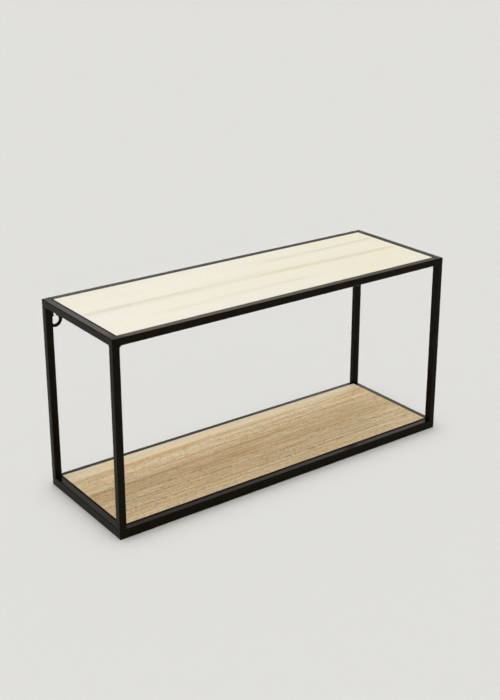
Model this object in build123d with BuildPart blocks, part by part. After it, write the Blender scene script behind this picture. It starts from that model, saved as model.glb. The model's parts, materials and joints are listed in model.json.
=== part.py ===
from build123d import *
import os

# Desk hutch: a welded frame of square steel tube that holds two wooden shelf boards.
# Millimetres. The origin is the middle of the footprint, on the surface that the hutch stands on.
# X runs along the width, -Y is the front and +Z is up.

# Overall size
WIDTH = 600
DEPTH = 200
HEIGHT = 295

# Steel tube: the same width everywhere, with taller rails in the bottom ring
TUBE = 11
TOP_RAIL_HEIGHT = TUBE
BOTTOM_RAIL_HEIGHT = 14
WALL = 1
EDGE_RADIUS = 1.4
BORE_RADIUS = EDGE_RADIUS - WALL
CORNER_RADIUS = 1.5  # outer corners of the rings, ground smooth after welding

# Clear opening inside the frame
OPENING_HALF_WIDTH = WIDTH / 2 - TUBE
OPENING_HALF_DEPTH = DEPTH / 2 - TUBE
TOP_RING_UNDERSIDE = HEIGHT - TOP_RAIL_HEIGHT

# Shelf boards, as thick as the top ring. The top one is flush with its ring, with a wider gap at the
# two ends, and the bottom one fills its ring and stands proud of it.
PANEL_THICKNESS = TOP_RAIL_HEIGHT
PANEL_ARRIS = 0.3
TOP_PANEL_LENGTH = 575.5
TOP_PANEL_DEPTH = 177.2
TOP_PANEL_SHIFT = (0, -0.3)
BOTTOM_PANEL_LENGTH = 577.4
BOTTOM_PANEL_DEPTH = 177.4
BOTTOM_PANEL_TOP = BOTTOM_RAIL_HEIGHT + 1.5

# Support tabs under the boards, in a front row and a rear row
TAB_THICKNESS = 1
TAB_WIDTH = 16
TAB_TIP_Y = 74
TAB_CORNER = 4
TAB_LAP = 6  # how far a top tab reaches under its rail
TAB_HOLE_RADIUS = 1.9
TABS_PER_ROW = 3
TAB_SPACING = 220

# Wood screws, driven up through the tabs
SCREW_ROW_SPACING = 160
SCREW_HEAD_RADIUS = 3.4
SCREW_HEAD_HEIGHT = 1.6
SCREW_HEAD_RIM = 0.6
SCREW_CROWN_RADIUS = 2.2
SCREW_DOME_RADIUS = 2.5
SCREW_SHANK_RADIUS = 1.45
SCREW_LENGTH = 9
SCREW_POINT_LENGTH = 2
SCREW_POINT_RADIUS = 0.3
RECESS_WIDTH = 0.7
RECESS_SPAN = 3.4
RECESS_DEPTH = 0.9
PILOT_RADIUS = 1.55
PILOT_DEPTH = SCREW_LENGTH - TAB_THICKNESS + 0.4

# Keyhole plates in the two rear top corners
HANGER_X = 281.5
HANGER_Z = HEIGHT - 35
HANGER_RADIUS = 11
HANGER_THICKNESS = 2
HANGER_RECESS = 1  # behind the frame's rear face
KEYHOLE_RADIUS = 6.5
KEYHOLE_SLOT_WIDTH = 4.5
KEYHOLE_SLOT_RISE = 11

# Weld fillets at the heads of the uprights
WELD_LEG = 3.5
WELD_MIDDLE = 0.4 * WELD_LEG
WELD_LENGTH = TUBE - 2 * EDGE_RADIUS


def save(piece, name):
    """Label a finished piece and write it as its own STEP file."""
    piece.part.label = name
    export_step(piece.part, f"parts/{name}.step")


def mitred_rail(name, turn, length, outer_face, bottom, height):
    """One side of a ring: a hollow tube with both ends cut at 45 degrees.

    turn rotates the rear side about Z to the wanted side of the ring, and outer_face is
    how far that side's outer face stands from the middle of the hutch.
    """
    plan = Plane.XY.offset(bottom).rotated((0, 0, turn))
    start = plan.from_local_coords(Vector(-length / 2, outer_face - TUBE / 2, height / 2))
    inner_face = outer_face - TUBE
    inner_half = length / 2 - TUBE
    with BuildPart() as rail:
        with BuildSketch(Plane(start, x_dir=plan.y_dir, z_dir=plan.x_dir)):
            RectangleRounded(TUBE, height, EDGE_RADIUS)
            RectangleRounded(TUBE - 2 * WALL, height - 2 * WALL, BORE_RADIUS, mode=Mode.SUBTRACT)
        extrude(amount=length)
        with BuildSketch(plan):
            with BuildLine():
                Polyline(
                    (-length / 2, outer_face),
                    (length / 2, outer_face),
                    (inner_half, inner_face),
                    (-inner_half, inner_face),
                    close=True,
                )
            make_face()
            RectangleRounded(length, 2 * outer_face, CORNER_RADIUS, mode=Mode.INTERSECT)
        extrude(amount=height, mode=Mode.INTERSECT)
    save(rail, name)


def ring(prefix, bottom, height):
    """The four mitred rails of the top or the bottom ring."""
    mitred_rail(f"{prefix}_rear_rail", 0, WIDTH, DEPTH / 2, bottom, height)
    mitred_rail(f"{prefix}_front_rail", 180, WIDTH, DEPTH / 2, bottom, height)
    mitred_rail(f"{prefix}_left_rail", 90, DEPTH, WIDTH / 2, bottom, height)
    mitred_rail(f"{prefix}_right_rail", -90, DEPTH, WIDTH / 2, bottom, height)


def upright(name, x_side, y_side):
    """A hollow post between the rings, flush with their outer faces."""
    centre = (x_side * (WIDTH - TUBE) / 2, y_side * (DEPTH - TUBE) / 2)
    with BuildPart() as post:
        with BuildSketch(Plane.XY.offset(BOTTOM_RAIL_HEIGHT)):
            with Locations(centre):
                RectangleRounded(TUBE, TUBE, EDGE_RADIUS)
                RectangleRounded(TUBE - 2 * WALL, TUBE - 2 * WALL, BORE_RADIUS, mode=Mode.SUBTRACT)
        extrude(amount=TOP_RING_UNDERSIDE - BOTTOM_RAIL_HEIGHT)
    save(post, name)


def shelf_panel(name, length, depth, top, shift=(0, 0)):
    """A board with softened edges, and pilot holes in its underside for the screws."""
    underside = Plane.XY.offset(top - PANEL_THICKNESS)
    with BuildPart() as panel:
        with BuildSketch(underside):
            with Locations(shift):
                Rectangle(length, depth)
        extrude(amount=PANEL_THICKNESS)
        chamfer(panel.edges(), length=PANEL_ARRIS)
        with BuildSketch(underside):
            with GridLocations(TAB_SPACING, SCREW_ROW_SPACING, TABS_PER_ROW, 2):
                Circle(PILOT_RADIUS)
        extrude(amount=PILOT_DEPTH, mode=Mode.SUBTRACT)
    save(panel, name)


def support_tabs(name, top, root_y):
    """Drilled plates in two rows, each from its root at a long rail to a rounded tip."""
    reach = root_y - TAB_TIP_Y
    with BuildPart() as tabs:
        with BuildSketch(Plane.XY.offset(top - TAB_THICKNESS)) as outline:
            with GridLocations(TAB_SPACING, 2 * TAB_TIP_Y + reach, TABS_PER_ROW, 2):
                Rectangle(TAB_WIDTH, reach)
            rows = outline.vertices().group_by(Axis.Y)
            fillet(rows[1] + rows[2], TAB_CORNER)
            with GridLocations(TAB_SPACING, SCREW_ROW_SPACING, TABS_PER_ROW, 2):
                Circle(TAB_HOLE_RADIUS, mode=Mode.SUBTRACT)
        extrude(amount=TAB_THICKNESS)
    save(tabs, name)


def shelf_screws(name, tab_underside):
    """Pan-head wood screws without threads: head down, cross recess, pointed shank."""
    shank_end = SCREW_LENGTH - SCREW_POINT_LENGTH
    with BuildPart(mode=Mode.PRIVATE) as screw:
        with BuildSketch(Plane.XZ):
            with BuildLine():
                Polyline(
                    (SCREW_CROWN_RADIUS, -SCREW_HEAD_HEIGHT),
                    (0, -SCREW_HEAD_HEIGHT),
                    (0, SCREW_LENGTH),
                    (SCREW_POINT_RADIUS, SCREW_LENGTH),
                    (SCREW_SHANK_RADIUS, shank_end),
                    (SCREW_SHANK_RADIUS, 0),
                    (SCREW_HEAD_RADIUS, 0),
                    (SCREW_HEAD_RADIUS, -SCREW_HEAD_RIM),
                )
                RadiusArc(
                    (SCREW_HEAD_RADIUS, -SCREW_HEAD_RIM),
                    (SCREW_CROWN_RADIUS, -SCREW_HEAD_HEIGHT),
                    SCREW_DOME_RADIUS,
                )
            make_face()
        revolve(axis=Axis.Z)
        with BuildSketch(Plane.XY.offset(-SCREW_HEAD_HEIGHT)):
            Rectangle(RECESS_SPAN, RECESS_WIDTH)
            Rectangle(RECESS_WIDTH, RECESS_SPAN)
        extrude(amount=RECESS_DEPTH, mode=Mode.SUBTRACT)
    with BuildPart(Plane.XY.offset(tab_underside)) as screws:
        with GridLocations(TAB_SPACING, SCREW_ROW_SPACING, TABS_PER_ROW, 2):
            add(screw.part)
    save(screws, name)


def hanger(name, side):
    """A flat keyhole plate that fills the corner under the rear rail, beside an upright."""
    with BuildPart() as plate:
        with BuildSketch(Plane.XZ.offset(HANGER_RECESS - DEPTH / 2)):
            with Locations((side * HANGER_X, HANGER_Z)):
                Circle(HANGER_RADIUS)
                Rectangle(2 * HANGER_RADIUS, HEIGHT, align=(Align.CENTER, Align.MIN))
            Rectangle(2 * OPENING_HALF_WIDTH, 2 * TOP_RING_UNDERSIDE, mode=Mode.INTERSECT)
            with Locations((side * HANGER_X, HANGER_Z)):
                Circle(KEYHOLE_RADIUS, mode=Mode.SUBTRACT)
                Rectangle(
                    KEYHOLE_SLOT_WIDTH,
                    KEYHOLE_SLOT_RISE,
                    align=(Align.CENTER, Align.MIN),
                    mode=Mode.SUBTRACT,
                )
            with Locations((side * HANGER_X, HANGER_Z + KEYHOLE_SLOT_RISE)):
                Circle(KEYHOLE_SLOT_WIDTH / 2, mode=Mode.SUBTRACT)
        extrude(amount=HANGER_THICKNESS)
    save(plate, name)


def weld_beads():
    """Hollow-faced fillets between the uprights and the top ring, inside the corners.

    The rear corners have none along the rear rail, because the keyhole plates fill them.
    """
    post_x = (WIDTH - TUBE) / 2
    post_y = (DEPTH - TUBE) / 2
    along_short_rails = Plane(
        (-post_x, -OPENING_HALF_DEPTH, TOP_RING_UNDERSIDE), x_dir=(0, 1, 0), z_dir=(1, 0, 0)
    )
    along_long_rails = Plane(
        (-OPENING_HALF_WIDTH, -post_y, TOP_RING_UNDERSIDE), x_dir=(1, 0, 0), z_dir=(0, -1, 0)
    )
    with BuildPart() as beads:
        for plane, mirror_plane in ((along_short_rails, Plane.XZ), (along_long_rails, Plane.YZ)):
            with BuildSketch(plane):
                with BuildLine():
                    Polyline((WELD_LEG, 0), (0, 0), (0, -WELD_LEG))
                    ThreePointArc((0, -WELD_LEG), (WELD_MIDDLE, -WELD_MIDDLE), (WELD_LEG, 0))
                make_face()
            extrude(amount=WELD_LENGTH / 2, both=True)
            mirror(about=mirror_plane)
    save(beads, "weld_beads")


os.makedirs("parts", exist_ok=True)

ring("top", TOP_RING_UNDERSIDE, TOP_RAIL_HEIGHT)
ring("bottom", 0, BOTTOM_RAIL_HEIGHT)

upright("upright_front_left", -1, -1)
upright("upright_front_right", 1, -1)
upright("upright_rear_left", -1, 1)
upright("upright_rear_right", 1, 1)

shelf_panel("top_shelf_panel", TOP_PANEL_LENGTH, TOP_PANEL_DEPTH, HEIGHT, TOP_PANEL_SHIFT)
shelf_panel("bottom_shelf_panel", BOTTOM_PANEL_LENGTH, BOTTOM_PANEL_DEPTH, BOTTOM_PANEL_TOP)

top_tab_level = HEIGHT - PANEL_THICKNESS
bottom_tab_level = BOTTOM_PANEL_TOP - PANEL_THICKNESS
support_tabs("top_support_tabs", top_tab_level, OPENING_HALF_DEPTH + TAB_LAP)
support_tabs("bottom_support_tabs", bottom_tab_level, OPENING_HALF_DEPTH)
shelf_screws("top_shelf_screws", top_tab_level - TAB_THICKNESS)
shelf_screws("bottom_shelf_screws", bottom_tab_level - TAB_THICKNESS)

hanger("hanger_left", -1)
hanger("hanger_right", 1)
weld_beads()
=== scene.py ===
# Looks of the desk hutch: materials, weld beads, floor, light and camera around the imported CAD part.
import json
import math

import bmesh
import bpy
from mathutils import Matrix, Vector


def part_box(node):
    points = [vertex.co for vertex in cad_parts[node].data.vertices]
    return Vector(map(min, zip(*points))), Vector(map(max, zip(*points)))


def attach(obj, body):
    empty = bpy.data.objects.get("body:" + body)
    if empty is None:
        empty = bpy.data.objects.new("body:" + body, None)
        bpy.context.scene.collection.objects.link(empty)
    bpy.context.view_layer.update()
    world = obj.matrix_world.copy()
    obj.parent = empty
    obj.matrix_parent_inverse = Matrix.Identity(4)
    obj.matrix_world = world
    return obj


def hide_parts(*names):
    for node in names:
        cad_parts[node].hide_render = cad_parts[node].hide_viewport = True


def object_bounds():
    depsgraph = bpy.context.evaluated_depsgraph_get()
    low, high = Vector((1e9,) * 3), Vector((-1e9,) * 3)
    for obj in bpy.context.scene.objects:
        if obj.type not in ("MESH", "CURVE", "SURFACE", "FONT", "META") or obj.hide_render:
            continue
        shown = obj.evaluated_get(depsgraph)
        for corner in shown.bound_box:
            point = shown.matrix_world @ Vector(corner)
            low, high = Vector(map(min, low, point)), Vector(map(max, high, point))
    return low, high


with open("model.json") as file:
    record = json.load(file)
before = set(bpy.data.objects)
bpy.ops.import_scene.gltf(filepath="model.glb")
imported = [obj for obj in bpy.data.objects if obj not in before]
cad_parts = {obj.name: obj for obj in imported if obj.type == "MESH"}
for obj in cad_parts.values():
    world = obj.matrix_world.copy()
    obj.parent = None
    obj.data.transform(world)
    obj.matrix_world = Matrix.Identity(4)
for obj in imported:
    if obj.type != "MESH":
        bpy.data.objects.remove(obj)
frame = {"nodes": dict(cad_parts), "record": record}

cad_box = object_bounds()

# Camera, in metres and degrees, in the part's frame
CAMERA_PLACE = (-0.9823, -1.3225, 0.8406)
CAMERA_AZIMUTH = 36.45
CAMERA_DROP = 18.94
CAMERA_LENS = 59.5
CAMERA_SENSOR = 36
CAMERA_SHIFT_Y = -0.0864

# Studio surround: a bright band low behind the object, with a dimmer shelf over it, and then a softer
# sky. Each pair is where a change starts and ends: by height, as the upward part of a direction of
# length 1, or for the band's sides by how far the direction points to the back.
BACKDROP_COLOUR = (225, 224, 220)  # 8-bit, as the camera sees it
STUDIO_COLOUR = (1.0, 0.97, 0.92, 1)
STUDIO_BACK = (0.594, 0.804, 0)
HORIZON_STRENGTH = 0.15
BAND_STRENGTH = 3.6
BAND_RISE = (0.295, 0.37)
BAND_STEP = (0.37, 0.42)
BAND_SHELF = 0.41  # the shelf's share of the band's strength
BAND_FADE = (0.455, 0.53)
BAND_SIDES = (0.2, 0.7)
SKY_STRENGTH = 1.33
SKY_RISE = (0.45, 0.60)
SKY_FADE = (0.75, 0.90)
AMBIENT_STRENGTH = 0.10

# Lamps, with angles in degrees: a key for the object, and for the floor an overhead fill and a ring
# of low lamps. The fill is warm and the ring is cool, so that the shadow is warm.
KEY_STRENGTH = 0.95
KEY_ANGLE = 50
KEY_TILT = 10
KEY_HEADING = 143.4
FLOOR_FILL_STRENGTH = 31
FLOOR_FILL_ANGLE = 160
FLOOR_FILL_COLOUR = (1.065, 1.028, 0.918)
FLOOR_RING_COUNT = 6
FLOOR_RING_STRENGTH = 6.8
FLOOR_RING_ANGLE = 36
FLOOR_RING_TILT = 70
FLOOR_RING_LEAN = 0.5  # how much stronger the ring is from behind, and weaker from in front
FLOOR_RING_COLOUR = (0.85, 0.94, 1.18)

# Floor
FLOOR_SIZE = 40
FLOOR_COLOUR = (0.05, 0.0495, 0.048, 1)

# Wood boards
HALF_LENGTH = 0.30  # over which a board's tint changes, each way from the middle
GAP_SHADE_WIDTH = 0.0003  # the dark end of a board, as seen from above: painted shade of the gap to the rail
REAR_BAND = (0.050, 0.072)  # where, across the board, its paler rear starts and is complete
STREAK_FADE = 0.03  # how far a streak takes to fade out at its ends
PORE_LENGTH = 0.0055
PORE_ROW_WIDTH = 0.0013
PORE_ROUGHNESS = 0.15  # added to the wood's
WOOD_ROUGHNESS = (0.46, 0.58)
WOOD_SPECULAR = 0.3
WOOD_RELIEF = 0.0001
EDGE_CRUMB_SCALE = 1800

# Noise patterns in the veneer: changes per metre along and across the grain, detail, roughness, and
# a shift that sets each pattern apart from the others
WAVER = (3.2, 5, 1, 0.5, (0, 0, 0))
FINE_BANDS = (6, 290, 3, 0.6, (7, 0, 0))
STRANDS = (45, 430, 2, 0.5, (1, 0, 0))
FIBRES = (60, 1500, 3, 0.65, (0, 0, 0))
WARMTH = (7, 55, 2, 0.5, (0, 0, 4))
STREAK_PATCHES = (18, 60, 2, 0.5, (0, 11, 0))
PORE_DASHES = (1 / PORE_LENGTH, 130, 2, 0.6, (0, 5, 0))
PORE_SPELLS = (14, 130, 1, 0.5, (0, 2, 0))
FLECKS = (270, 360, 2, 0.5, (0, 0, 9))

# The veneer of the two boards, one look each: 8-bit colours, tints, how far the grain wavers in metres,
# the broad bands' noise pattern, the shares of the patterns in the tone, and the lines that cross them.
# A streak is its place across the board at the middle, its drift across per metre along it, its
# half width, where it starts and ends along the board, its colour and its strength.
# A row of pores is its place, its drift, where it starts and ends, and its strength.
# The top board's look is the bottom board's oak painted paler and greyer, with fainter grain: painted
# light, standing in for the strong overhead light and sheen on the top shelf.
OAK_VENEER_PAINTED_LIT = {
    "pale": (238, 235, 226),
    "tan": (230, 226, 211),
    "pore": (120, 112, 84),
    # near black: the board's side darkened into painted shade of the gap between board and rail
    "side_and_gap_shade": (14, 11, 7),
    "left_tint": (1.0, 1.0, 1.0),
    "right_tint": (0.965, 0.955, 0.89),
    "waver": 0.010,
    "cool": (0.989, 1.0, 1.003),
    "warm": (1.006, 0.992, 0.950),
    "broad_bands": (2.2, 20, 3, 0.5, (3, 0, 0)),
    "broad": 0.28,
    "fine": 0.08,
    "strand": 0.1,
    "fibre": 0.1,
    "pale_rear": 0,
    "flecks": 0.07,
    "streaks": (
        (-0.001, -0.018, 0.0075, -0.30, 0.24, (204, 204, 176), 0.40),
        (-0.002, -0.018, 0.0060, 0.00, 0.28, (222, 200, 158), 0.28),
        (-0.002, -0.022, 0.0050, 0.23, 0.28, (236, 190, 136), 0.40),
        (0.047, 0.002, 0.0060, 0.05, 0.30, (206, 200, 172), 0.35),
        (-0.050, 0.0, 0.0055, -0.20, 0.08, (212, 208, 186), 0.35),
        (-0.049, 0.0, 0.0040, 0.0, 0.05, (232, 206, 166), 0.25),
    ),
    "rows": (
        (0.002, -0.016, -0.30, -0.07, 0.30),
        (-0.001, -0.018, -0.07, 0.30, 0.10),
        (0.049, 0.002, 0.11, 0.30, 0.28),
    ),
}
OAK_VENEER = {
    "pale": (235, 214, 180),
    "tan": (204, 174, 131),
    "pore": (112, 82, 48),
    # near black: the board's side darkened into painted shade of the gap between board and rail
    "side_and_gap_shade": (30, 11, 4),
    "left_tint": (0.975, 0.985, 0.97),
    "right_tint": (0.955, 0.980, 0.975),
    "waver": 0.012,
    "cool": (0.955, 1.0, 1.02),
    "warm": (1.025, 0.985, 0.925),
    "broad_bands": (2.2, 34, 3, 0.5, (3, 0, 0)),
    "broad": 0.3,
    "fine": 0.45,
    "strand": 0.35,
    "fibre": 0.15,
    "pale_rear": 0.35,
    "flecks": 0.43,
    "streaks": (
        (0.0800, 0.000, 0.0100, -0.30, 0.30, (218, 208, 188), 0.55),
        (0.0610, 0.004, 0.0030, -0.30, 0.30, (186, 148, 100), 0.55),
        (0.0600, 0.000, 0.0050, -0.22, 0.05, (208, 158, 98), 0.35),
        (0.0640, 0.000, 0.0050, 0.27, 0.30, (214, 156, 86), 0.7),
        (0.0125, 0.022, 0.0035, -0.30, 0.10, (160, 120, 74), 0.42),
        (-0.0060, 0.0, 0.0140, -0.30, 0.00, (178, 138, 88), 0.5),
        (-0.0100, 0.0, 0.0120, 0.05, 0.30, (176, 146, 100), 0.3),
        (-0.0850, 0.0, 0.0090, -0.30, 0.30, (238, 218, 186), 0.45),
    ),
    "rows": (
        (0.0660, 0.010, -0.30, 0.30, 0.25),
        (0.0310, 0.024, -0.30, 0.30, 0.55),
        (0.0230, 0.010, -0.30, 0.30, 0.20),
        (0.0130, 0.026, -0.30, 0.30, 0.35),
        (0.0060, 0.004, -0.30, 0.30, 0.40),
        (-0.0040, 0.0, -0.30, 0.30, 0.35),
        (-0.0120, 0.0, -0.30, 0.30, 0.40),
        (-0.0195, 0.0, -0.30, 0.30, 0.65),
        (-0.0290, 0.0, -0.30, 0.30, 0.25),
        (-0.0370, 0.001, -0.30, 0.30, 0.90),
        (-0.0450, 0.0, -0.30, 0.30, 0.25),
        (-0.0520, 0.0, -0.30, 0.30, 0.30),
        (-0.0600, 0.0, -0.30, 0.30, 0.80),
        (-0.0690, 0.002, -0.30, 0.30, 0.30),
        (-0.0780, 0.0, -0.30, 0.30, 0.40),
        (-0.0840, 0.002, -0.30, 0.30, 0.40),
    ),
}

# Paint, and the ground weld under it at the corners
PAINT_COLOUR = (0.0055, 0.0036, 0.0016, 1)
PAINT_ROUGHNESS = (0.17, 0.23)
PAINT_SPECULAR = 0.07
PAINT_SPECULAR_TINT = (1, 0.88, 0.66, 1)
PEEL_SCALE = 700
PEEL_DEPTH = 0.00003
GRIT_SCALE = 4200
GRIT_DEPTH = 0.000006
SHADE_SCALE = 45
WELD_COLOUR = (0.012, 0.011, 0.0095, 1)
WELD_ROUGHNESS = (-0.04, 0.16)  # added to the paint's
WELD_REACH = 0.016  # how far the ground weld metal spreads from a joint
WELD_LUMP_SCALE = 260
WELD_LUMP_DEPTH = 0.0006

# Zinc plate
ZINC_DARK = (0.52, 0.52, 0.50, 1)
ZINC_LIGHT = (0.72, 0.72, 0.70, 1)
ZINC_ROUGHNESS = (0.25, 0.42)
ZINC_CLOUD_SCALE = 600
ZINC_GRAIN_SCALE = 5000
ZINC_GRAIN_DEPTH = 0.00001

# Weld fillets
WELD_LEG = 0.0035
WELD_MIDDLE = 0.4 * WELD_LEG  # where the hollow face crosses the bisector
WELD_LENGTH = 0.0082
WELD_SINK = 0.0001  # into the tubes, so that no gap shows
WELD_RIPPLES = 6
WELD_RIPPLE_HEIGHT = 0.00018
WELD_WANDER = 0.00015
WELD_PHASE_STEP = 2  # radians between the ripples of one fillet and the next
WELD_FACE_STEPS = 8
WELD_LENGTH_STEPS = 48


def linear(red, green, blue):
    """Scene colour of an 8-bit screen colour."""
    def one(value):
        value /= 255
        return value / 12.92 if value <= 0.04045 else ((value + 0.055) / 1.055) ** 2.4
    return one(red), one(green), one(blue), 1.0


def brightened(colour, factor):
    """A scene colour times a factor."""
    red, green, blue, alpha = colour
    return factor * red, factor * green, factor * blue, alpha


class Nodes:
    """Short calls for building a node tree."""

    def __init__(self, tree):
        self.tree = tree

    def add(self, kind, inputs=None, **settings):
        node = self.tree.nodes.new(kind)
        for key, value in settings.items():
            setattr(node, key, value)
        for key, value in (inputs or {}).items():
            self.feed(value, node.inputs[key])
        return node

    def feed(self, value, socket):
        if isinstance(value, bpy.types.NodeSocket):
            self.tree.links.new(value, socket)
        else:
            socket.default_value = value

    def math(self, operation, *values, clamp=False):
        node = self.add("ShaderNodeMath", operation=operation, use_clamp=clamp)
        for socket, value in zip(node.inputs, values):
            self.feed(value, socket)
        return node.outputs[0]

    def total(self, *values):
        """The sum of all the values."""
        result = values[0]
        for value in values[1:]:
            result = self.math("ADD", result, value)
        return result

    def product(self, *values):
        """All the values multiplied together."""
        result = values[0]
        for value in values[1:]:
            result = self.math("MULTIPLY", result, value)
        return result

    def ease(self, value, low, high, to_low=0.0, to_high=1.0):
        """value eased from one range to another."""
        node = self.add("ShaderNodeMapRange", interpolation_type="SMOOTHSTEP")
        for socket, part in zip(node.inputs, (value, low, high, to_low, to_high)):
            self.feed(part, socket)
        return node.outputs["Result"]

    def spread(self, noise, reach, to_low=0.0, to_high=1.0):
        """A noise, which mostly stays within reach of 0.5, eased over a whole range."""
        return self.ease(noise, 0.5 - reach, 0.5 + reach, to_low, to_high)

    def mix(self, factor, first, second, blend="MIX"):
        node = self.add("ShaderNodeMix", data_type="RGBA", blend_type=blend)
        self.feed(factor, node.inputs["Factor"])
        self.feed(first, node.inputs[6])
        self.feed(second, node.inputs[7])
        return node.outputs[2]

    def place(self):
        """Where a point of the surface is, in the part's frame."""
        return self.add("ShaderNodeTexCoord").outputs["Object"]

    def stretched(self, vector, scale, shift=(0, 0, 0)):
        """vector scaled along each axis, so that a texture laid on it is drawn out."""
        inputs = {"Vector": vector, "Location": shift, "Scale": scale}
        return self.add("ShaderNodeMapping", inputs).outputs["Vector"]

    def noise(self, vector, scale=1.0, detail=2.0, roughness=0.5, distortion=0.0):
        inputs = {"Vector": vector, "Scale": scale, "Detail": detail, "Roughness": roughness,
                  "Distortion": distortion}
        return self.add("ShaderNodeTexNoise", inputs).outputs["Fac"]

    def bump(self, height, distance, strength=1.0, normal=None):
        inputs = {"Height": height, "Distance": distance, "Strength": strength}
        if normal is not None:
            inputs["Normal"] = normal
        return self.add("ShaderNodeBump", inputs).outputs["Normal"]


def new_material(name):
    """A material, its node calls and its shader."""
    material = bpy.data.materials.new(name)
    material.use_nodes = True
    nodes = Nodes(material.node_tree)
    return material, nodes, material.node_tree.nodes["Principled BSDF"]


def split(nodes, vector):
    return nodes.add("ShaderNodeSeparateXYZ", {"Vector": vector}).outputs


def floor_material():
    material, _, shader = new_material("floor")
    shader.inputs["Base Color"].default_value = FLOOR_COLOUR
    shader.inputs["Roughness"].default_value = 1
    shader.inputs["Specular IOR Level"].default_value = 0
    return material


def corner_closeness(nodes, place):
    """1 at the frame's eight welded corners, falling to 0 at WELD_REACH from them."""
    x, y, z = split(nodes, place)
    half_x = cad_box[1][0]
    half_y = cad_box[1][1]
    middle_z = cad_box[1][2] / 2
    away_x = nodes.math("SUBTRACT", half_x, nodes.math("ABSOLUTE", x))
    away_y = nodes.math("SUBTRACT", half_y, nodes.math("ABSOLUTE", y))
    from_middle = nodes.math("ABSOLUTE", nodes.math("SUBTRACT", z, middle_z))
    away_z = nodes.math("SUBTRACT", middle_z, from_middle)
    squares = [nodes.math("POWER", away, 2.0) for away in (away_x, away_y, away_z)]
    distance = nodes.math("SQRT", nodes.total(*squares))
    return nodes.ease(distance, WELD_REACH * 1.6, WELD_REACH * 0.7)


def paint_material():
    """Satin black powder coat: fine orange peel, and blotchy ground weld under it at the corners."""
    material, nodes, shader = new_material("black_powder_coat")
    place = nodes.place()
    weld = corner_closeness(nodes, place)
    peel = nodes.noise(place, PEEL_SCALE)
    grit = nodes.noise(place, GRIT_SCALE)
    lumps = nodes.noise(place, WELD_LUMP_SCALE, 3, 0.6, 0.4)
    shade = nodes.noise(place, SHADE_SCALE, 3)

    paint = nodes.mix(nodes.spread(shade, 0.15), PAINT_COLOUR, brightened(PAINT_COLOUR, 1.5))
    bare = nodes.product(weld, nodes.ease(lumps, 0.5, 0.75))
    nodes.feed(nodes.mix(bare, paint, WELD_COLOUR), shader.inputs["Base Color"])

    rough = nodes.spread(peel, 0.2, *PAINT_ROUGHNESS)
    rougher = nodes.product(weld, nodes.ease(lumps, 0.4, 0.7, *WELD_ROUGHNESS))
    nodes.feed(nodes.math("ADD", rough, rougher), shader.inputs["Roughness"])

    skin = nodes.bump(grit, GRIT_DEPTH, 0.6, nodes.bump(peel, PEEL_DEPTH, 0.5))
    blotches = nodes.product(lumps, weld)
    nodes.feed(nodes.bump(blotches, WELD_LUMP_DEPTH, 0.8, skin), shader.inputs["Normal"])
    shader.inputs["Specular IOR Level"].default_value = PAINT_SPECULAR
    shader.inputs["Specular Tint"].default_value = PAINT_SPECULAR_TINT
    return material


def grain(nodes, place, pattern):
    """One of the veneer's noise patterns, drawn out along the board."""
    along, across, detail, roughness, shift = pattern
    drawn_out = nodes.stretched(place, (along, across, across), shift)
    return nodes.noise(drawn_out, 1, detail, roughness)


def gap_shade_closeness(nodes, x, board):
    """1 at the board's two ends, falling to 0 about the painted shade's width inside them: the shade of
    the gap between board and rail, painted on the face.
    """
    low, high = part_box(board)
    from_left = nodes.math("SUBTRACT", x, low.x)
    from_right = nodes.math("SUBTRACT", high.x, x)
    nearest = nodes.math("MINIMUM", from_left, from_right)
    return nodes.ease(nearest, 1.3 * GAP_SHADE_WIDTH, 0.7 * GAP_SHADE_WIDTH)


def side_and_gap_shade_share(nodes, x, board):
    """1 on the board's four sides, and on a hair's breadth of its faces at the two ends: where the
    board's own sides are darkened into painted shade of the gap between board and rail.
    """
    normal = nodes.add("ShaderNodeNewGeometry").outputs["Normal"]
    facing_up = nodes.math("ABSOLUTE", split(nodes, normal)[2])
    return nodes.math("MAXIMUM", nodes.ease(facing_up, 0.85, 0.6), gap_shade_closeness(nodes, x, board))


def row_distance(nodes, x, across, middle, drift):
    """How far across the board a point is from a line that drifts across it."""
    line = nodes.total(middle, nodes.product(x, drift))
    return nodes.math("ABSOLUTE", nodes.math("SUBTRACT", across, line))


def between(nodes, x, first_x, last_x):
    """1 between two places along the board, fading out within STREAK_FADE of each."""
    started = nodes.ease(x, first_x - STREAK_FADE, first_x + STREAK_FADE)
    going_on = nodes.ease(x, last_x + STREAK_FADE, last_x - STREAK_FADE)
    return nodes.product(started, going_on)


def ground_colour(nodes, x, drawn, rear, fibres, look):
    """The veneer without its lines: growth bands, broad and fine, and slow changes of tint."""
    shares = (
        (grain(nodes, drawn, look["broad_bands"]), look["broad"]),
        (grain(nodes, drawn, FINE_BANDS), look["fine"]),
        (grain(nodes, drawn, STRANDS), look["strand"]),
        (fibres, look["fibre"]),
    )
    tones = [nodes.product(nodes.spread(noise, 0.18), share) for noise, share in shares]
    tone = nodes.math("SUBTRACT", nodes.total(*tones), nodes.product(rear, look["pale_rear"]))
    colour = nodes.mix(nodes.ease(tone, 0, 1), linear(*look["pale"]), linear(*look["tan"]))
    along = nodes.ease(x, -HALF_LENGTH, HALF_LENGTH)
    tint = nodes.mix(along, (*look["left_tint"], 1), (*look["right_tint"], 1))
    colour = nodes.mix(1.0, colour, tint, "MULTIPLY")
    warmth = nodes.spread(grain(nodes, drawn, WARMTH), 0.17)
    tint = nodes.mix(warmth, (*look["cool"], 1), (*look["warm"], 1))
    return nodes.mix(1.0, colour, tint, "MULTIPLY")


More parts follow.
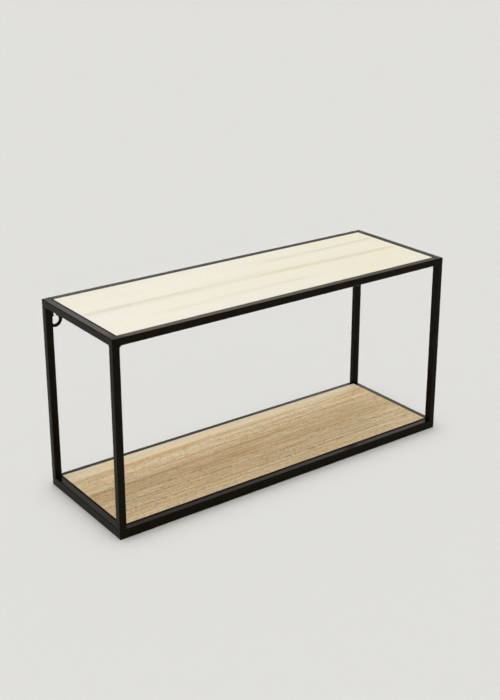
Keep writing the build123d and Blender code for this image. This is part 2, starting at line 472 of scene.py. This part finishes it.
def with_streaks(nodes, colour, x, across, drawn, look):
    """colour under soft coloured bands that start and end along the board."""
    patches = grain(nodes, drawn, STREAK_PATCHES)
    for middle, drift, half_width, first_x, last_x, streak, strength in look["streaks"]:
        away = row_distance(nodes, x, across, middle, drift)
        body = nodes.ease(away, 1.6 * half_width, 0.2 * half_width)
        patchy = nodes.ease(patches, 0.25, 0.6, 0.45 * strength, strength)
        share = nodes.product(body, between(nodes, x, first_x, last_x), patchy)
        colour = nodes.mix(share, colour, linear(*streak))
    return colour


def pore_share(nodes, x, across, drawn, rear, look):
    """How much of a point is pore: dashes in rows, and flecks scattered between them."""
    dashes = nodes.ease(grain(nodes, drawn, PORE_DASHES), 0.40, 0.58, 0.3, 1)
    spells = nodes.ease(grain(nodes, drawn, PORE_SPELLS), 0.35, 0.60, 0.35, 1)
    lines = []
    for middle, drift, first_x, last_x, strength in look["rows"]:
        away = row_distance(nodes, x, across, middle, drift)
        line = nodes.ease(away, 1.2 * PORE_ROW_WIDTH, 0.5 * PORE_ROW_WIDTH, 0, strength)
        lines.append(nodes.product(line, between(nodes, x, first_x, last_x)))
    in_rows = nodes.product(nodes.total(*lines), nodes.product(dashes, spells))
    flecks = nodes.ease(grain(nodes, drawn, FLECKS), 0.53, 0.68, 0, look["flecks"])
    fewer_at_rear = nodes.ease(rear, 0, 1, 1, 0.35)
    return nodes.math("MAXIMUM", in_rows, nodes.product(flecks, fewer_at_rear), clamp=True)


def wood_material(name, board, look):
    """Straight-grained veneer along X, with soft streaks and rows of dashed pores, and near-black sides
    and ends: painted shade of the gap between board and rail.
    """
    material, nodes, shader = new_material(name)
    place = nodes.place()
    x, y, z = split(nodes, place)
    waver = nodes.math("SUBTRACT", grain(nodes, place, WAVER), 0.5)
    across = nodes.math("ADD", y, nodes.product(waver, look["waver"]))
    drawn = nodes.add("ShaderNodeCombineXYZ", {"X": x, "Y": across, "Z": z}).outputs[0]
    rear = nodes.ease(across, *REAR_BAND)
    fibres = grain(nodes, drawn, FIBRES)
    pores = pore_share(nodes, x, across, drawn, rear, look)

    colour = ground_colour(nodes, x, drawn, rear, fibres, look)
    colour = with_streaks(nodes, colour, x, across, drawn, look)
    colour = nodes.mix(pores, colour, linear(*look["pore"]))
    # The sides, and a strip of the faces at the ends, are near black: painted shade of the gap between
    # board and rail, over the board's own side colour.
    dark = linear(*look["side_and_gap_shade"])
    crumbs = nodes.noise(place, EDGE_CRUMB_SCALE, 3, 0.7)
    side_and_gap_shade_colour = nodes.mix(crumbs, dark, brightened(dark, 1.6))
    nodes.feed(nodes.mix(side_and_gap_shade_share(nodes, x, board), colour, side_and_gap_shade_colour), shader.inputs["Base Color"])

    rough = nodes.spread(fibres, 0.2, *WOOD_ROUGHNESS)
    rough = nodes.math("ADD", rough, nodes.product(pores, PORE_ROUGHNESS))
    nodes.feed(rough, shader.inputs["Roughness"])
    height = nodes.math("SUBTRACT", nodes.product(fibres, 0.35), pores)
    nodes.feed(nodes.bump(height, WOOD_RELIEF, 0.5), shader.inputs["Normal"])
    shader.inputs["Specular IOR Level"].default_value = WOOD_SPECULAR
    return material


def zinc_material():
    """Bright zinc plate: cloudy in tone, with a fine grain."""
    material, nodes, shader = new_material("zinc_plate")
    place = nodes.place()
    cloud = nodes.noise(place, ZINC_CLOUD_SCALE, 3)
    grit = nodes.noise(place, ZINC_GRAIN_SCALE, 3)
    nodes.feed(nodes.mix(cloud, ZINC_DARK, ZINC_LIGHT), shader.inputs["Base Color"])
    nodes.feed(nodes.spread(grit, 0.2, *ZINC_ROUGHNESS), shader.inputs["Roughness"])
    nodes.feed(nodes.bump(grit, ZINC_GRAIN_DEPTH, 0.5), shader.inputs["Normal"])
    shader.inputs["Metallic"].default_value = 1
    return material


def dress(thing, material):
    slots = thing.data.materials
    slots.clear()
    slots.append(material)


def link(name, data):
    thing = bpy.data.objects.new(name, data)
    bpy.context.scene.collection.objects.link(thing)
    return thing


def bead_outline(swell):
    """The fillet's cross-section, as (out along the rail, down along the upright) in metres.

    swell is how much fuller than its hollow face the fillet is at this place along the bead.
    """
    leg = WELD_LEG + 0.5 * swell
    middle = WELD_MIDDLE + swell
    control = 2 * middle - 0.5 * leg  # of the quadratic curve that passes through the middle
    points = [(-WELD_SINK, -WELD_SINK), (leg, -WELD_SINK)]
    for step in range(WELD_FACE_STEPS + 1):
        t = step / WELD_FACE_STEPS
        out = (1 - t) ** 2 * leg + 2 * t * (1 - t) * control
        down = t ** 2 * leg + 2 * t * (1 - t) * control
        points.append((out, down))
    points.append((-WELD_SINK, leg))
    return points


def add_bead(mesh, corner, out, along, phase):
    """One fillet at the middle of its length, with the ripples of the welder's passes."""
    loops = []
    for step in range(WELD_LENGTH_STEPS + 1):
        t = step / WELD_LENGTH_STEPS
        ripple = 0.5 + 0.5 * math.cos(2 * math.pi * WELD_RIPPLES * t + phase)
        wander = 0.5 + 0.5 * math.sin(2 * math.pi * t + 2 * phase)
        swell = WELD_RIPPLE_HEIGHT * ripple + WELD_WANDER * wander
        base = corner + along * (t - 0.5) * WELD_LENGTH
        outline = bead_outline(swell)
        loops.append([mesh.verts.new(base + out * a - Vector((0, 0, b))) for a, b in outline])
    count = len(loops[0])
    face_sides = range(2, 2 + WELD_FACE_STEPS)  # the outline's first two points are its flat top
    for first, second in zip(loops, loops[1:]):
        for side in range(count):
            after = (side + 1) % count
            quad = mesh.faces.new((first[side], first[after], second[after], second[side]))
            quad.smooth = side in face_sides
    mesh.faces.new(loops[0])
    mesh.faces.new(loops[-1])


def make_weld_beads(material):
    """The six fillets between the uprights and the top ring, rippled."""
    mesh = bmesh.new()
    phase = 0
    for node in ("upright_front_left", "upright_front_right", "upright_rear_left", "upright_rear_right"):
        low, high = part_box(node)
        inward_x = Vector((1 if low.x < 0 else -1, 0, 0))
        inward_y = Vector((0, 1 if low.y < 0 else -1, 0))
        inner_x = high.x if low.x < 0 else low.x
        inner_y = high.y if low.y < 0 else low.y
        middle_x = (low.x + high.x) / 2
        middle_y = (low.y + high.y) / 2
        add_bead(mesh, Vector((middle_x, inner_y, high.z)), inward_y, Vector((1, 0, 0)), phase)
        phase += WELD_PHASE_STEP
        if low.y < 0:
            add_bead(mesh, Vector((inner_x, middle_y, high.z)), inward_x, Vector((0, 1, 0)), phase)
            phase += WELD_PHASE_STEP
    bmesh.ops.recalc_face_normals(mesh, faces=mesh.faces)
    data = bpy.data.meshes.new("weld_bead_fillets")
    mesh.to_mesh(data)
    mesh.free()
    beads = link("weld_bead_fillets", data)
    dress(beads, material)
    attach(beads, "root")
    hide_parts("weld_beads")
    return beads


def make_floor():
    half = FLOOR_SIZE / 2
    mesh = bpy.data.meshes.new("floor")
    corners = [(-half, -half, 0), (half, -half, 0), (half, half, 0), (-half, half, 0)]
    mesh.from_pydata(corners, [], [(0, 1, 2, 3)])
    floor = link("floor", mesh)
    dress(floor, floor_material())
    return floor


def make_studio():
    """A surround with a bright band low behind the object, a sky over it, and even where it is seen."""
    world = bpy.data.worlds.new("studio")
    bpy.context.scene.world = world
    world.use_nodes = True
    nodes = Nodes(world.node_tree)
    direction = nodes.add("ShaderNodeTexCoord").outputs["Generated"]
    height = split(nodes, direction)[2]
    toward = nodes.add("ShaderNodeVectorMath", {0: direction, 1: STUDIO_BACK}, operation="DOT_PRODUCT")
    band = nodes.product(
        nodes.ease(height, *BAND_RISE, HORIZON_STRENGTH, BAND_STRENGTH),
        nodes.ease(height, *BAND_STEP, 1, BAND_SHELF),
        nodes.ease(height, *BAND_FADE, 1, 0),
        nodes.ease(toward.outputs["Value"], *BAND_SIDES),
    )
    sky = nodes.product(nodes.ease(height, *SKY_RISE), nodes.ease(height, *SKY_FADE, SKY_STRENGTH, 0))
    surround = world.node_tree.nodes["Background"]
    surround.inputs["Color"].default_value = STUDIO_COLOUR
    nodes.feed(nodes.total(band, sky, AMBIENT_STRENGTH), surround.inputs["Strength"])
    seen = nodes.add("ShaderNodeBackground", {"Color": linear(*BACKDROP_COLOUR)})
    seen_by_camera = nodes.add("ShaderNodeLightPath").outputs["Is Camera Ray"]
    choice = {0: seen_by_camera, 1: surround.outputs[0], 2: seen.outputs[0]}
    both = nodes.add("ShaderNodeMixShader", choice)
    nodes.feed(both.outputs[0], world.node_tree.nodes["World Output"].inputs["Surface"])


def make_sun(name, strength, angle, tilt=0, heading=0, colour=(1, 1, 1)):
    """A distant light, tilted from overhead; at heading 0 it then comes from the front."""
    sun = bpy.data.lights.new(name, "SUN")
    sun.energy = strength
    sun.angle = math.radians(angle)
    sun.color = colour
    lamp = link(name, sun)
    lamp.rotation_euler = (math.radians(tilt), 0, math.radians(heading))
    return lamp


def grouped(name, things):
    group = bpy.data.collections.new(name)
    for thing in things:
        group.objects.link(thing)
    return group


def light_floor(floor):
    """Light for the floor alone, which only the bottom shelf shades, so that its shadow stays close."""
    fills = [make_sun("floor_fill", FLOOR_FILL_STRENGTH, FLOOR_FILL_ANGLE, colour=FLOOR_FILL_COLOUR)]
    for number in range(FLOOR_RING_COUNT):
        heading = 360 * number / FLOOR_RING_COUNT
        strength = FLOOR_RING_STRENGTH * (1 - FLOOR_RING_LEAN * math.cos(math.radians(heading)))
        name = f"floor_ring_{number}"
        lamp = make_sun(name, strength, FLOOR_RING_ANGLE, FLOOR_RING_TILT, heading, FLOOR_RING_COLOUR)
        fills.append(lamp)
    lit = grouped("lit_by_floor_fills", [floor])
    bottom = [node for name, node in frame["nodes"].items() if name.startswith("bottom")]
    shading = grouped("shading_floor_fills", bottom)
    for fill in fills:
        fill.data.cycles.use_multiple_importance_sampling = False  # or other nodes would shade it too
        fill.light_linking.receiver_collection = lit
        fill.light_linking.blocker_collection = shading


def light_object(things):
    """The overhead key, which leaves the floor to its own light."""
    key = make_sun("key", KEY_STRENGTH, KEY_ANGLE, KEY_TILT, KEY_HEADING)
    key.light_linking.receiver_collection = grouped("lit_by_key", things)


def make_camera():
    data = bpy.data.cameras.new("camera")
    data.lens = CAMERA_LENS
    data.sensor_width = CAMERA_SENSOR
    data.shift_y = CAMERA_SHIFT_Y
    camera = link("camera", data)
    camera.location = CAMERA_PLACE
    camera.rotation_euler = (math.radians(90 - CAMERA_DROP), 0, -math.radians(CAMERA_AZIMUTH))
    bpy.context.scene.camera = camera


make_camera()
make_studio()
light_floor(make_floor())

materials = {
    "frame_paint": paint_material(),
    # the top board: the same oak painted paler, as painted light on the top shelf
    "top_wood": wood_material("oak_veneer_painted_lit", "top_shelf_panel", OAK_VENEER_PAINTED_LIT),
    "bottom_wood": wood_material("oak_veneer", "bottom_shelf_panel", OAK_VENEER),
    "screw_steel": zinc_material(),
}
for part in frame["record"]["subparts"]:
    dress(frame["nodes"][part["node"]], materials[part["material_slot"]])
beads = make_weld_beads(materials["frame_paint"])
light_object([*frame["nodes"].values(), beads])

bpy.context.scene.view_settings.view_transform = "Standard"
